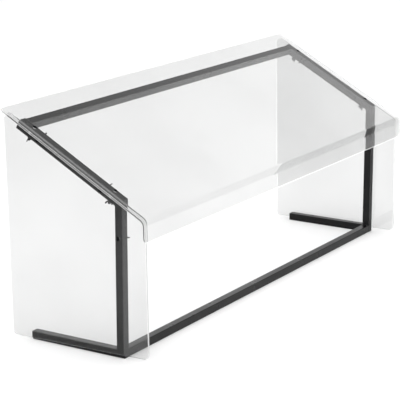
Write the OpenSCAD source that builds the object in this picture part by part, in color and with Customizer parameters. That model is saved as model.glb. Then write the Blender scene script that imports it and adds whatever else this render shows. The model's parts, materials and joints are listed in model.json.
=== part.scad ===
// Free-standing sneeze guard for a buffet table: a welded square-tube frame that carries one
// bent clear panel over the food and a clear panel at each end, held on with screws and wing nuts.
// X runs along the table, +Y from the guests' side to the servers' side, Z up from the table.

/* [Frame] */
// Width over the outer faces of the two side frames
frame_w = 1181; // [700:1:1800]
// Outer width of the square tube
tube = 19; // [15:0.5:30]
// Wall of the square tube
tube_wall = 1.2; // [0.8:0.1:3]
// Outer corner radius of the tube
tube_corner = 1.5; // [0.5:0.1:3]
// Length of each foot, over its end cap
foot_len = 245; // [160:1:400]
// Height at which the sloping arms' top faces meet the front of the uprights
front_h = 344; // [260:1:500]
// Rise of the arms towards the rear, in degrees
slope = 28.4; // [15:0.1:40]
// Length of each arm along its top face, over its end cap
arm_len = 300; // [220:1:450]

/* [Clear panels] */
// Thickness of the clear sheet
panel_t = 4.8; // [3:0.1:8]
// Corner radius of all three panels
panel_corner = 13; // [4:0.5:20]
// How far the top panel reaches past the frame at each end
panel_over = 19; // [8:0.5:40]
// How far the top panel reaches past the rear ends of the arms
panel_rear = 47; // [10:1:80]
// Free space between the uprights' front faces and the lip
lip_gap = 62; // [45:1:100]
// Height of the lip, from where its outer face would meet the panel's top face
lip_h = 46; // [35:1:90]
// Inside radius of the bend between top panel and lip
bend_r = 15; // [8:0.5:25]

/* [End panels] */
// How far the lower front corner stands ahead of the uprights
side_front = 64; // [40:1:100]
// Height of the lower front corner above the table
side_lift = 10; // [6:0.5:30]
// Width of an end panel, front to rear
side_depth = 360; // [260:1:500]
// Backward lean of the end panels, in degrees
side_rake = 1; // [0:0.1:2]
// Gap between an end panel's top edge and the top panel
side_gap = 1; // [0.5:0.1:4]

/* [Fasteners] */
// Thread diameter of the screws
screw_d = 5; // [4:0.5:6]
// Extra diameter of the holes that the screws pass through
hole_play = 0.5; // [0.2:0.1:1]
// Rim of a screw's head beyond its thread
head_rim = 2.25; // [1.5:0.05:3]
// Height of a screw's domed head
head_h = 2.75; // [2:0.05:4]
// Width across the flats of the key socket
socket = 3; // [2.5:0.1:3.5]
// Depth of the key socket
socket_depth = 1.5; // [1:0.1:1.8]
// Thread left showing past a wing nut
thread_past = 2.5; // [1:0.1:5]
// Rim of a washer beyond the thread
washer_rim = 2.5; // [1.5:0.1:4]
// Thickness of a washer
washer_t = 1; // [0.5:0.1:2]
// Distance from the front of the arm to its first top screw
top_screw_front = 30; // [28:1:60]
// Distance from the arm's rear end to its last top screw
top_screw_rear = 36; // [34:1:70]
// Distance along the arm from a top screw to the end panel's screw next to it
side_screw_step = 25; // [20:1:40]
// How far below the top of the upright's front face the end panel's lower screw is
post_screw_drop = 80; // [40:1:150]

/* [Wing nuts] */
// Width over the two wings
wing_span = 18; // [16:0.5:20]
// Height of a wing nut to the tips of its wings
nut_h = 12.5; // [10:0.5:15]
// Height of a wing nut's hub
hub_h = 6.5; // [5:0.5:8]
// Wall of the hub at its base
hub_wall = 2.1; // [1.5:0.1:3]
// Wall of the hub at its top
hub_top_wall = 1.3; // [1:0.1:1.5]
// Height at which the wings leave the hub
wing_low = 1; // [0.5:0.1:2]
// Thickness of a wing
wing_t = 2; // [1.5:0.1:3]
// Width of a wing at its tip
wing_tip = 3.2; // [2.5:0.1:4]
// Rounding of a wing's corners
wing_round = 1.2; // [0.5:0.1:1.4]
// Radial running clearance between thread and nut
nut_play = 0.05; // [0.01:0.01:0.1]
// Free space between the wings' sweep and the nearest panel
wing_play = 0.5; // [0.3:0.1:2]

/* [End caps] */
// Thickness of the part of a cap that shows
cap_t = 2.5; // [1.5:0.1:4]
// Rounding of a cap's outer edges
cap_round = 1.5; // [0.5:0.1:2]
// Length of the plug inside the tube
plug_len = 10; // [6:0.5:20]
// Wall of the plug
plug_wall = 1.5; // [1:0.1:3]
// Clearance between plug and tube, on each side
plug_play = 0.1; // [0.05:0.05:0.3]

/* [Hidden] */
$fn = 64;

LEFT = -1;
RIGHT = 1;
steel = [0.07, 0.07, 0.07];
plastic = [0.03, 0.03, 0.03];
clear = [0.85, 0.92, 0.95, 0.35];
slack = 1;                                  // how far a cutting tool runs past what it cuts

half_w = frame_w / 2;
crossbar_len = frame_w - 2 * tube;
arm_tube_len = arm_len - cap_t;
foot_tube_len = foot_len - cap_t;
tube_inside = tube - 2 * tube_wall;
mitre = (90 - slope) / 2;                   // the cut at the top of an upright, below the level

panel_w = frame_w + 2 * panel_over;
bend_out = bend_r + panel_t;
bend_start = (lip_gap - bend_r * (1 - sin(slope))) / cos(slope);
bend_z = front_h - bend_start * sin(slope) - bend_r * cos(slope);   // height of the bend's axis
lip_len = lip_h - bend_out * tan(mitre);    // its flat part
lip_low_z = bend_z - lip_len;
panel_end = arm_len + panel_rear;

// The origin is midway between the lip and the top panel's rear edge
front_y = -(panel_end * cos(slope) - lip_gap - panel_t) / 2;

wing_r = wing_span / 2;
screw_inset = wing_r + wing_play;           // from a panel's face to the screws beside it
hole_r = (screw_d + hole_play) / 2;
head_r = screw_d / 2 + head_rim;
hub_r = screw_d / 2 + hub_wall;
hub_top_r = screw_d / 2 + hub_top_wall;
wing_bite = 1;                              // how far inside the hub's rim a wing's top edge starts
grip = panel_t + tube + washer_t;           // what a screw clamps
screw_len = grip + hub_h + thread_past;

post_screw_z = front_h - post_screw_drop;
top_screw_s = [top_screw_front, arm_len - top_screw_rear];
arm_screw_s = [top_screw_s[0] + side_screw_step, top_screw_s[1] - side_screw_step];

// How far each wing nut happens to be turned, in degrees
top_turn_left = [42, -7];
top_turn_right = [-71, -58];
end_turn_left = [120, 15, -40];
end_turn_right = [25, -20, 8];

// ---------- helpers ----------

function unit(v) = v / norm(v);
function before(list, i) = list[(i + len(list) - 1) % len(list)];
function after(list, i) = list[(i + 1) % len(list)];
function half_turn(p, a, b) = acos(unit(a - p) * unit(b - p)) / 2;
function corner_run(p, a, b, r) = r / tan(half_turn(p, a, b));
function corner_centre(p, a, b, r) =
    p + unit(unit(a - p) + unit(b - p)) * r / sin(half_turn(p, a, b));

// Outline with true round corners: the polygon through the arcs' ends, and a disc at each corner
module rounded_outline(points, radii) {
    ends = [for (i = [0 : len(points) - 1]) each let (
        p = points[i],
        a = before(points, i),
        b = after(points, i),
        run = corner_run(p, a, b, radii[i])
    ) (radii[i] > 0 ? [p + unit(a - p) * run, p + unit(b - p) * run] : [p])];
    polygon(ends);
    for (i = [0 : len(points) - 1]) if (radii[i] > 0)
        translate(corner_centre(points[i], before(points, i), after(points, i), radii[i]))
            circle(r = radii[i]);
}

module rounded_square(width, r) {
    h = width / 2;
    rounded_outline([[-h, -h], [h, -h], [h, h], [-h, h]], [r, r, r, r]);
}

// Square tube along +Z, centred on its axis
module square_tube(length) {
    linear_extrude(length) difference() {
        rounded_square(tube, tube_corner);
        square(tube_inside, center = true);
    }
}

// Everything on one side of a plane through the X axis: above it, or below
module half_space(above) {
    size = 3 * tube;
    translate([-size, -size, above ? 0 : -2 * size]) cube([2 * size, 2 * size, 2 * size]);
}

// Frame of the uprights' front faces, at the table
module from_front() translate([0, front_y, 0]) children();

// Frame of the arms: +Y up the slope, Z = 0 on their top faces
module on_slope() from_front() translate([0, 0, front_h]) rotate([slope, 0, 0]) children();

// Where a side frame's tube axis lies
function side_x(side) = side * (half_w - tube / 2);

// ---------- welded frame ----------

module foot(side) color(steel) from_front() translate([side_x(side), 0, 0]) difference() {
    translate([0, 0, tube / 2]) rotate([-90, 0, 0]) square_tube(foot_tube_len);
    rotate([45, 0, 0]) half_space(true);
}

module upright(side) color(steel) from_front() translate([side_x(side), 0, 0]) difference() {
    translate([0, tube / 2, 0]) square_tube(front_h);
    rotate([45, 0, 0]) half_space(false);
    translate([0, 0, front_h]) rotate([-mitre, 0, 0]) half_space(true);
    translate([0, tube / 2, post_screw_z]) across_tube();
}

module arm(side) color(steel) difference() {
    on_slope() translate([side_x(side), -tube, -tube / 2]) rotate([-90, 0, 0])
        square_tube(tube + arm_tube_len);
    from_front() translate([side_x(side), 0, front_h]) rotate([-mitre, 0, 0]) half_space(false);
    for (s = top_screw_s) on_slope() translate([top_screw_x(side), s, -tube / 2])
        cylinder(r = hole_r, h = tube + 2 * slack, center = true);
    for (s = arm_screw_s) on_slope() translate([side_x(side), s, -screw_inset]) across_tube();
}

// The hole for an end panel's screw, right through a side frame's tube
module across_tube() rotate([0, 90, 0])
    cylinder(r = hole_r, h = tube + 2 * slack, center = true);

module lower_crossbar() color(steel) from_front()
    translate([-crossbar_len / 2, tube / 2, tube / 2]) rotate([0, 90, 0]) square_tube(crossbar_len);

module upper_crossbar() color(steel) on_slope()
    translate([-crossbar_len / 2, arm_tube_len - tube / 2, -tube / 2]) rotate([0, 90, 0])
        square_tube(crossbar_len);

// ---------- end caps ----------

// Cap on the end of a tube that runs along +Y and ends at Y = 0, its axis on Y
module end_cap() color(plastic) {
    h = tube / 2;
    back = [[-h, 0], [h, 0], [h, cap_t], [-h, cap_t]];
    back_r = [0, 0, cap_round, cap_round];
    intersection() {
        rotate([-90, 0, 0]) linear_extrude(cap_t) rounded_square(tube, tube_corner);
        translate([0, 0, -h]) linear_extrude(tube) rounded_outline(back, back_r);
        translate([-h, 0, 0]) rotate([0, 90, 0]) linear_extrude(tube) rounded_outline(back, back_r);
    }
    plug = tube_inside - 2 * plug_play;
    rotate([90, 0, 0]) linear_extrude(plug_len) difference() {
        square(plug, center = true);
        square(plug - 2 * plug_wall, center = true);
    }
}

module foot_cap(side) from_front() translate([side_x(side), foot_tube_len, tube / 2]) end_cap();

module arm_cap(side) on_slope() translate([side_x(side), arm_tube_len, -tube / 2]) end_cap();

// ---------- clear panels ----------

// Everything inside one face of the bent sheet, drawn about the bend's axis with +X up the slope:
// that face's flat runs meet in a round of radius r, and past them the outline goes inwards
module inside_face(r, slab_end, lip_run, inwards) {
    apex = [-r * tan(mitre), r];
    lip_end = apex + lip_run * [-sin(slope), -cos(slope)];
    rounded_outline([
        [slab_end, r],
        apex,
        lip_end,
        lip_end + inwards * [cos(slope), -sin(slope)],
        [slab_end, r - inwards]
    ], [0, r, 0, 0, 0]);
}

// Section of the top panel: all inside its outer face, less all inside its inner face
module top_section() {
    slab = bend_start + panel_end;
    difference() {
        inside_face(bend_out, slab, lip_h, bend_out);
        inside_face(bend_r, slab + slack, lip_h + slack, 3 * bend_out);
    }
}

// What rounding takes off a corner at the origin, where the sheet fills X < 0 and Y < 0
module corner_waste() translate([-panel_corner, -panel_corner]) difference() {
    square(panel_corner + slack);
    circle(r = panel_corner);
}

module top_panel() color(clear) difference() {
    on_slope() translate([-panel_w / 2, -bend_start, -bend_r]) rotate([90, 0, 90])
        linear_extrude(panel_w) top_section();
    for (side = [LEFT, RIGHT]) {
        on_slope() translate([side * panel_w / 2, panel_end, -slack]) mirror([side == LEFT ? 1 : 0, 0, 0])
            linear_extrude(panel_t + 2 * slack) corner_waste();
        from_front() translate([side * panel_w / 2, slack - lip_gap, lip_low_z])
            mirror([side == LEFT ? 1 : 0, 0, 0]) mirror([0, 0, 1]) rotate([90, 0, 0])
                linear_extrude(panel_t + 2 * slack) corner_waste();
        for (s = top_screw_s) on_slope() translate([top_screw_x(side), s, -slack])
            cylinder(r = hole_r, h = panel_t + 2 * slack);
    }
}

// Where the line from p along d reaches the end panels' top edge
function up_to_top(p, d) = p + d * (front_h - side_gap / cos(slope) + p[0] * tan(slope) - p[1])
    / (d[1] - d[0] * tan(slope));

// Outline of an end panel as [Y, Z] from the uprights' front faces
function end_panel_corners() = let (
    along = [cos(side_rake), -sin(side_rake)],
    up = [sin(side_rake), cos(side_rake)],
    low_front = [-side_front, side_lift],
    low_rear = low_front + side_depth * along
) [low_front, low_rear, up_to_top(low_rear, up), up_to_top(low_front, up)];

module end_panel(side) color(clear) difference() {
    from_front() translate([side * (half_w + panel_t / 2) - panel_t / 2, 0, 0])
        rotate([90, 0, 90]) linear_extrude(panel_t)
            rounded_outline(end_panel_corners(), [for (i = [0 : 3]) panel_corner]);
    end_screw_places(side) translate([0, 0, -slack])
        cylinder(r = hole_r, h = panel_t + 2 * slack);
}

// ---------- screws, washers and wing nuts ----------

// Each is drawn with its axis on Z, and Z = 0 on the tube face that the panel lies against

function top_screw_x(side) = side * (half_w - screw_inset);

module top_screw_places(side) for (s = top_screw_s) top_place(side, s) children();

module top_place(side, s) on_slope() translate([top_screw_x(side), s, 0]) children();

// The upright's place, then the two on the arm
module end_screw_places(side) for (i = [0 : 2]) end_place(side, i) children();

module end_place(side, i) {
    if (i == 0) from_front() translate([side * half_w, tube / 2, post_screw_z])
        rotate([0, side * 90, 0]) children();
    if (i > 0) on_slope() translate([side * half_w, arm_screw_s[i - 1], -screw_inset])
        rotate([0, side * 90, 0]) children();
}

module screw() color(steel) {
    dome_r = (head_r * head_r + head_h * head_h) / (2 * head_h);
    translate([0, 0, panel_t]) difference() {
        intersection() {
            translate([0, 0, head_h - dome_r]) sphere(r = dome_r);
            cylinder(r = head_r, h = head_h);
        }
        translate([0, 0, head_h - socket_depth])
            cylinder(d = socket / cos(30), h = socket_depth + slack, $fn = 6);
    }
    translate([0, 0, panel_t - screw_len]) cylinder(d = screw_d, h = screw_len);
}

module washer() color(steel) translate([0, 0, -tube - washer_t]) difference() {
    cylinder(r = screw_d / 2 + washer_rim, h = washer_t);
    translate([0, 0, -slack]) cylinder(r = hole_r, h = washer_t + 2 * slack);
}

// One wing in the plane of the nut's axis, as [radius, height]
module wing() rotate([90, 0, 0]) translate([0, 0, -wing_t / 2]) linear_extrude(wing_t)
    rounded_outline([
        [0, wing_low],
        [hub_r, wing_low],
        [wing_r, hub_h],
        [wing_r, nut_h],
        [wing_r - wing_tip, nut_h],
        [hub_top_r - wing_bite, hub_h - wing_bite],
        [0, hub_h - wing_bite]
    ], [0, wing_round, wing_round, wing_round, wing_round, 0, 0]);

module wing_nut(turn) color(plastic) translate([0, 0, -tube - washer_t]) rotate([180, 0, 0])
    rotate([0, 0, turn]) difference() {
        union() {
            rotate_extrude() polygon([[0, 0], [hub_r, 0], [hub_top_r, hub_h], [0, hub_h]]);
            wing();
            mirror([1, 0, 0]) wing();
        }
        translate([0, 0, -slack]) cylinder(r = screw_d / 2 + nut_play, h = nut_h + 2 * slack);
    }

module top_nut(side, i) top_place(side, top_screw_s[i])
    wing_nut(side == LEFT ? top_turn_left[i] : top_turn_right[i]);

module end_nut(side, i) end_place(side, i)
    wing_nut(side == LEFT ? end_turn_left[i] : end_turn_right[i]);

foot(LEFT);  // left_foot
upright(LEFT);  // left_upright
arm(LEFT);  // left_arm
foot(RIGHT);  // right_foot
upright(RIGHT);  // right_upright
arm(RIGHT);  // right_arm
lower_crossbar();
upper_crossbar();
foot_cap(LEFT);  // left_foot_cap
foot_cap(RIGHT);  // right_foot_cap
arm_cap(LEFT);  // left_arm_cap
arm_cap(RIGHT);  // right_arm_cap
top_panel();
end_panel(LEFT);  // left_end_panel
end_panel(RIGHT);  // right_end_panel
union() {  // top_panel_screws
    top_screw_places(LEFT) screw();
    top_screw_places(RIGHT) screw();
}
end_screw_places(LEFT) screw();  // left_end_screws
end_screw_places(RIGHT) screw();  // right_end_screws
union() {  // top_panel_washers
    top_screw_places(LEFT) washer();
    top_screw_places(RIGHT) washer();
}
end_screw_places(LEFT) washer();  // left_end_washers
end_screw_places(RIGHT) washer();  // right_end_washers
top_nut(LEFT, 0);  // top_nut_left_front
top_nut(LEFT, 1);  // top_nut_left_rear
top_nut(RIGHT, 0);  // top_nut_right_front
top_nut(RIGHT, 1);  // top_nut_right_rear
end_nut(LEFT, 0);  // end_nut_left_post
end_nut(LEFT, 1);  // end_nut_left_front
end_nut(LEFT, 2);  // end_nut_left_rear
end_nut(RIGHT, 0);  // end_nut_right_post
end_nut(RIGHT, 1);  // end_nut_right_front
end_nut(RIGHT, 2);  // end_nut_right_rear
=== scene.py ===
# %% [markdown]
# # A buffet sneeze guard
#
# A sneeze guard is a clear shield that stands on a serving table, between the guests and the food. This
# one is a black welded frame of square tube. It carries one bent clear sheet over the food and a flat
# clear sheet at each end, and screws with wing nuts hold the sheets on. The design is already fixed as a
# CAD model. These cells load that model, make the pieces that need a finer shape than the design gives
# them, and give every surface its finish.

# %% Load the design
import json
import math

import bmesh
import bpy
import numpy as np
from mathutils import Matrix, Vector
from mathutils.geometry import convex_hull_2d, delaunay_2d_cdt


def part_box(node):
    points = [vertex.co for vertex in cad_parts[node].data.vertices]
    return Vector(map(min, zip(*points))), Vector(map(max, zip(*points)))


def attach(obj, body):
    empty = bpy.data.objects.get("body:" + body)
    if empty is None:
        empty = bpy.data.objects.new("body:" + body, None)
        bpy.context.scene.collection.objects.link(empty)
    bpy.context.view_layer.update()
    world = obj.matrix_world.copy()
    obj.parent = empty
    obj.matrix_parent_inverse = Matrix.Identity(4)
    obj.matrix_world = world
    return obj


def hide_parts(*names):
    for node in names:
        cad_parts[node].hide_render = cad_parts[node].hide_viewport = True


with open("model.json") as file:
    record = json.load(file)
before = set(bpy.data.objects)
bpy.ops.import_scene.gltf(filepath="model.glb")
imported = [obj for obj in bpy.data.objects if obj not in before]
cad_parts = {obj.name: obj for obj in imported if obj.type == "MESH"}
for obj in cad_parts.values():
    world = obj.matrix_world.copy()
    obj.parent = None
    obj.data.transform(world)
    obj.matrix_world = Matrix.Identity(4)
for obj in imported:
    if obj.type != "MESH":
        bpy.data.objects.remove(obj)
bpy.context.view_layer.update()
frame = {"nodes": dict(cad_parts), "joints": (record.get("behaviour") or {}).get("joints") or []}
nodes = frame["nodes"]
joints = {joint["child"]: joint for joint in frame["joints"]}
MM = 0.001
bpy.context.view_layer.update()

# %% [markdown]
# ## The camera
#
# The guard is seen from the guests' side, past its left end and a little above it, through a long lens
# from more than three metres away. A long lens keeps the far end nearly as large as the near one, as
# catalogue pictures do. A camera looks along its own -Z, so the turn that takes -Z to the wanted
# direction aims it, and a very small roll levels the table.

# %% Camera
CAMERA_PLACE = Vector((-3.2403, -1.9626, 1.1878))
CAMERA_AZIMUTH = math.radians(-58.013)
CAMERA_ELEVATION = math.radians(14.608)
CAMERA_ROLL = math.radians(-0.076)
LENS = 145.4

camera_data = bpy.data.cameras.new("camera")
camera_data.lens = LENS
camera = bpy.data.objects.new("camera", camera_data)
bpy.context.scene.collection.objects.link(camera)
look = -Vector((
    math.sin(CAMERA_AZIMUTH) * math.cos(CAMERA_ELEVATION),
    -math.cos(CAMERA_AZIMUTH) * math.cos(CAMERA_ELEVATION),
    math.sin(CAMERA_ELEVATION),
))
aim = look.to_track_quat("-Z", "Y").to_matrix().to_4x4()
camera.matrix_world = Matrix.Translation(CAMERA_PLACE) @ aim @ Matrix.Rotation(CAMERA_ROLL, 4, "Z")
bpy.context.scene.camera = camera
print("the camera looks along", [round(v, 3) for v in look])

# %% [markdown]
# ## What the design says
#
# Everything later is placed from a few facts that are read off the model. The turning axis of a top wing
# nut stands square to the sloping sheet, so it gives the slope. The boxes of a few nodes give the tube's
# width, the sheet's thickness and the height of the uprights. `reach` measures a node along any
# direction, which a box can't do for a piece that lies at an angle.

# %% Facts from the frame
LEFT, RIGHT = -1, 1
SIDES = {"left": LEFT, "right": RIGHT}


def corners(name):
    """Every vertex of a design node as one array of places."""
    flat = np.empty(3 * len(nodes[name].data.vertices))
    nodes[name].data.vertices.foreach_get("co", flat)
    return flat.reshape(-1, 3)


def reach(name, way):
    """The least and the greatest distance of a node's vertices along a direction."""
    along = corners(name) @ np.asarray(way, float)
    return along.min(), along.max()


up_off_sheet = np.array(joints["top_nut_left_front"]["axis"], float)
up_off_sheet /= np.linalg.norm(up_off_sheet)
slope = math.atan2(-up_off_sheet[1], up_off_sheet[2])
up_slope = np.array([0.0, math.cos(slope), math.sin(slope)])
post_low, post_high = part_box("left_upright")
tube = post_high.x - post_low.x
front_y, front_h = post_low.y, post_high.z
half_w = -post_low.x
sheet_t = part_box("left_end_panel")[1].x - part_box("left_end_panel")[0].x
print("slope", round(math.degrees(slope), 2), "tube", round(tube, 4), "sheet", round(sheet_t, 4))

# %% [markdown]
# ## Surfaces from arrays
#
# Most small pieces here are one idea: a closed outline carried round an axis or along a path. Such a
# surface is a grid of points, rows by columns, and the faces only join each point to its neighbours, so
# one function can make the faces of all of them at once. A row that shrinks to a single point closes an
# end, and merging its doubled points turns its faces into triangles.

# %% Helpers for surfaces
def grid_faces(rows, columns, ring=False):
    """Four-sided faces between neighbours of a grid of points. Columns always close up; rows do if ring."""
    row, column = np.meshgrid(np.arange(rows if ring else rows - 1), np.arange(columns), indexing="ij")
    beside, below = (column + 1) % columns, (row + 1) % rows
    corner_sets = (row * columns + column, row * columns + beside,
                   below * columns + beside, below * columns + column)
    return np.stack(corner_sets, -1).reshape(-1, 4)


def placed(points, origin, x_way, y_way, z_way):
    """Points given along three directions from an origin, as places in the model."""
    return np.asarray(origin) + np.asarray(points) @ np.array([x_way, y_way, z_way], float)


def closed_shells(name, shells, material, smooth_angle=35):
    """One object from several grids of points (each an array of rows x columns x 3, and whether the rows
    form a ring). Doubled points at the poles are merged and the faces are turned outwards."""
    places, faces, used = [], [], 0
    for grid, ring in shells:
        rows, columns = grid.shape[:2]
        places.append(grid.reshape(-1, 3))
        faces.append(grid_faces(rows, columns, ring) + used)
        used += rows * columns
    mesh = bpy.data.meshes.new(name)
    mesh.from_pydata(np.concatenate(places).tolist(), [], np.concatenate(faces).tolist())
    work = bmesh.new()
    work.from_mesh(mesh)
    bmesh.ops.remove_doubles(work, verts=work.verts, dist=1e-6)
    bmesh.ops.recalc_face_normals(work, faces=work.faces)
    work.to_mesh(mesh)
    work.free()
    mesh.shade_smooth()
    mesh.set_sharp_from_angle(angle=math.radians(smooth_angle))
    mesh.materials.append(material)
    piece = bpy.data.objects.new(name, mesh)
    bpy.context.scene.collection.objects.link(piece)
    return piece


def lathe(profile, columns=48):
    """A profile of [radius, height] turned about Z: each point goes round as (r cos a, r sin a, h)."""
    profile = np.asarray(profile, float)
    angle = np.linspace(0, 2 * np.pi, columns, endpoint=False)
    radius, height = profile[:, :1], profile[:, 1:]
    return np.stack([radius * np.cos(angle), radius * np.sin(angle), height + 0 * angle], -1)


print("a square of 2 x 3 points makes", len(grid_faces(2, 3)), "faces")

# %% [markdown]
# ## Shader effects that several finishes share
#
# An effect that more than one finish needs goes into a node group, which is built once and placed in each
# material with its own values. Wiring nodes by hand is mostly repetition, so a few helpers come first:
# one makes an empty group with named sockets, and each of the others adds one kind of node and gives back
# the socket that carries its result, so that effects can be written like sums.

# %% Helpers for shader nodes
def new_group(name, inputs, outputs):
    """An empty shader node group with named sockets, and its two end nodes."""
    group = bpy.data.node_groups.new(name, "ShaderNodeTree")
    for label, kind, value in inputs:
        group.interface.new_socket(label, in_out="INPUT", socket_type=kind).default_value = value
    for label, kind in outputs:
        group.interface.new_socket(label, in_out="OUTPUT", socket_type=kind)
    return group, group.nodes.new("NodeGroupInput"), group.nodes.new("NodeGroupOutput")


def maths(tree, operation, first, second=0.0, third=None):
    """A Math node whose inputs are sockets or numbers."""
    node = tree.nodes.new("ShaderNodeMath")
    node.operation = operation
    for socket, value in zip(node.inputs, (first, second, third)):
        if isinstance(value, bpy.types.NodeSocket):
            tree.links.new(value, socket)
        elif value is not None:
            socket.default_value = value
    return node.outputs[0]


def noise(tree, place, scale, detail=2.0, roughness=0.5):
    """A noise texture's value at a place, with the scale as a socket or a number."""
    node = tree.nodes.new("ShaderNodeTexNoise")
    node.inputs["Detail"].default_value = detail
    node.inputs["Roughness"].default_value = roughness
    tree.links.new(place, node.inputs["Vector"])
    if isinstance(scale, bpy.types.NodeSocket):
        tree.links.new(scale, node.inputs["Scale"])
    else:
        node.inputs["Scale"].default_value = scale
    return node.outputs["Fac"]


MIX_SHARE, MIX_FIRST, MIX_SECOND, MIX_OUT = 0, 6, 7, 2     # the colour sockets of a Mix node


def blend_colours(tree, share, first, second):
    """A colour that goes from first to second with a share; both can be sockets or colours. A Mix node has
    a set of sockets for each kind of data under the same names, so the colour ones are picked by number."""
    node = tree.nodes.new("ShaderNodeMix")
    node.data_type = "RGBA"
    tree.links.new(share, node.inputs[MIX_SHARE])
    for number, item in ((MIX_FIRST, first), (MIX_SECOND, second)):
        if isinstance(item, bpy.types.NodeSocket):
            tree.links.new(item, node.inputs[number])
        else:
            node.inputs[number].default_value = item
    return node.outputs[MIX_OUT]


def span(tree, value, low, high, start, end):
    """A value mapped from low..high to start..end, held at the ends."""
    node = tree.nodes.new("ShaderNodeMapRange")
    for socket, item in zip(node.inputs, (value, low, high, start, end)):
        if isinstance(item, bpy.types.NodeSocket):
            tree.links.new(item, socket)
        else:
            socket.default_value = item
    return node.outputs["Result"]


print("node helpers: new_group, maths, noise, blend_colours, span")

# %% [markdown]
# Powder coat, black zinc and moulded plastic look alike from afar and differ in their grain. Each is a
# dark base with a fine texture that catches the light, and a broader unevenness in how glossy it is. One
# group makes all three from named inputs, so a finish is only a set of values. The tops of the grain take
# the worn colour, and more of it in some broad patches than in others, so that it doesn't look printed.

# %% Node group: coated grain
coated_grain, grain_in, grain_out = new_group("coated_grain", [
    ("Place", "NodeSocketVector", (0, 0, 0)),
    ("Base", "NodeSocketColor", (0.01, 0.01, 0.01, 1)),
    ("Worn", "NodeSocketColor", (0.03, 0.03, 0.03, 1)),
    ("Grain", "NodeSocketFloat", 900.0),
    ("Gloss Low", "NodeSocketFloat", 0.3),
    ("Gloss High", "NodeSocketFloat", 0.45),
], [("Colour", "NodeSocketColor"), ("Roughness", "NodeSocketFloat"), ("Height", "NodeSocketFloat")])
PATCH_SCALE = 22.0          # broad unevenness, about 45 mm across
pebbles = noise(coated_grain, grain_in.outputs["Place"], grain_in.outputs["Grain"], 3.0, 0.6)
patches = noise(coated_grain, grain_in.outputs["Place"], PATCH_SCALE, 4.0, 0.55)
worn = maths(coated_grain, "MULTIPLY", span(coated_grain, pebbles, 0.45, 0.75, 0.0, 1.0),
             span(coated_grain, patches, 0.35, 0.75, 0.25, 1.0))
coated_grain.links.new(
    blend_colours(coated_grain, worn, grain_in.outputs["Base"], grain_in.outputs["Worn"]),
    grain_out.inputs["Colour"])
coated_grain.links.new(
    span(coated_grain, patches, 0.3, 0.7, grain_in.outputs["Gloss Low"], grain_in.outputs["Gloss High"]),
    grain_out.inputs["Roughness"])
coated_grain.links.new(pebbles, grain_out.inputs["Height"])
print("coated_grain has", len(coated_grain.nodes), "nodes")

# %% [markdown]
# A clear sheet in use is never quite clean. Its marks are two noises laid over each other: broad clouds of
# dust, and streaks that are stretched the way a hand wipes. The streaks only show where there are clouds.
# Drawing them from noise, and not by hand, lets the same group serve all three sheets.

# %% Node group: wipe marks on a clear sheet
wipe_marks, wipe_in, wipe_out = new_group("wipe_marks", [
    ("Place", "NodeSocketVector", (0, 0, 0)),
    ("Clean", "NodeSocketColor", (1, 1, 1, 1)),
    ("Smeared", "NodeSocketColor", (0.97, 0.97, 0.97, 1)),
    ("Haze", "NodeSocketFloat", 0.02),
], [("Colour", "NodeSocketColor"), ("Roughness", "NodeSocketFloat"), ("Height", "NodeSocketFloat")])
CLOUD_SCALE = 3.2           # clouds of dust about 0.3 m across
STREAK_SCALE = (9.0, 60.0, 60.0)
WIPE_TURN = (0.3, 0.2, 0.5)
clouds = noise(wipe_marks, wipe_in.outputs["Place"], CLOUD_SCALE, 3.0, 0.5)
streaks = wipe_marks.nodes.new("ShaderNodeMapping")
streaks.inputs["Scale"].default_value = STREAK_SCALE
streaks.inputs["Rotation"].default_value = WIPE_TURN
wipe_marks.links.new(wipe_in.outputs["Place"], streaks.inputs["Vector"])
smears = noise(wipe_marks, streaks.outputs["Vector"], 1.0, 5.0, 0.6)
marked = maths(wipe_marks, "MULTIPLY", span(wipe_marks, smears, 0.5, 0.72, 0.0, 1.0),
               span(wipe_marks, clouds, 0.42, 0.62, 0.0, 1.0))
cloudy = maths(wipe_marks, "MAXIMUM", marked, span(wipe_marks, clouds, 0.38, 0.66, 0.0, 0.7))
wipe_marks.links.new(
    blend_colours(wipe_marks, cloudy, wipe_in.outputs["Clean"], wipe_in.outputs["Smeared"]),
    wipe_out.inputs["Colour"])
wipe_marks.links.new(maths(wipe_marks, "MULTIPLY", marked, wipe_in.outputs["Haze"]),
                     wipe_out.inputs["Roughness"])
wipe_marks.links.new(clouds, wipe_out.inputs["Height"])
print("wipe_marks has", len(wipe_marks.nodes), "nodes")

# %% [markdown]
# A material keeps its own shader and takes only colours, roughness and height from a group. Every texture
# reads the object's own coordinates. All pieces sit at the model's origin, so the grain runs on from one
# piece to the next and stays put when a piece moves with its body.

# %% Helpers for materials
def new_material(name):
    """A material with its tree, its Principled shader and the place socket that every texture reads."""
    material = bpy.data.materials.new(name)
    material.use_nodes = True
    tree = material.node_tree
    place = tree.nodes.new("ShaderNodeTexCoord").outputs["Object"]
    return material, tree, tree.nodes["Principled BSDF"], place


def use_group(tree, group, place, values):
    """Puts a node group into a material and sets its values."""
    node = tree.nodes.new("ShaderNodeGroup")
    node.node_tree = group
    tree.links.new(place, node.inputs["Place"])
    for label, value in values.items():
        node.inputs[label].default_value = value
    return node


def raise_surface(tree, shader, height, distance):
    """A Bump node between a height and the shader's Normal."""
    bump = tree.nodes.new("ShaderNodeBump")
    bump.inputs["Distance"].default_value = distance
    bump.inputs["Strength"].default_value = 1.0
    tree.links.new(height, bump.inputs["Height"])
    tree.links.new(bump.outputs["Normal"], shader.inputs["Normal"])


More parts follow.
